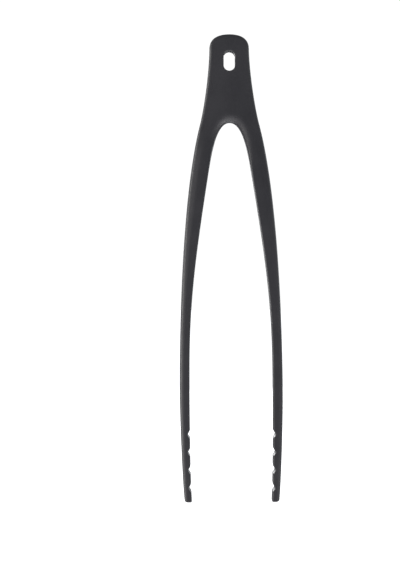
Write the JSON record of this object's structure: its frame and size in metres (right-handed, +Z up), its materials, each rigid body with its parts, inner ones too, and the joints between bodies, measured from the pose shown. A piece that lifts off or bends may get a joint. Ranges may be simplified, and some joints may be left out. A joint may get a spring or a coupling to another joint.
{
  "type": "spring loaded kitchen tongs",
  "caption": "Wishbone spring tongs moulded in one piece, with a slotted hang tab, two bowed arms that flex and notched jaws.",
  "frame": {"origin": "centre of the hang slot, halfway through the tab's depth", "axes": "+Z up the tongs from the jaws to the hang tab, +X across them from the left arm to the right arm as seen from the front, +Y through their depth to the back"},
  "size_m": [0.0168, 0.0044, 0.076],
  "materials": {
    "black_nylon": "fine matte moulded texture, slightly satin"
  },
  "bodies": {
    "head": {"hang_tab": "black_nylon", "spring_yoke": "black_nylon", "left_shoulder": "black_nylon", "right_shoulder": "black_nylon"},
    "left_arm": {"left_upper_arm": "black_nylon", "left_lower_arm": "black_nylon", "left_jaw": "black_nylon"},
    "right_arm": {"right_upper_arm": "black_nylon", "right_lower_arm": "black_nylon", "right_jaw": "black_nylon"}
  },
  "joints": [
    {"name": "left_squeeze", "type": "hinge", "parent": "head", "child": "left_arm", "pos_m": [-0.00563, 0, -0.023], "axis": [0, -1, 0], "range_deg": [-3, 7.4], "stiffness_Nm_per_rad": 0.4},
    {"name": "right_squeeze", "type": "hinge", "parent": "head", "child": "right_arm", "pos_m": [0.00563, 0, -0.023], "axis": [0, 1, 0], "range_deg": [-3, 7.4], "stiffness_Nm_per_rad": 0.4}
  ]
}
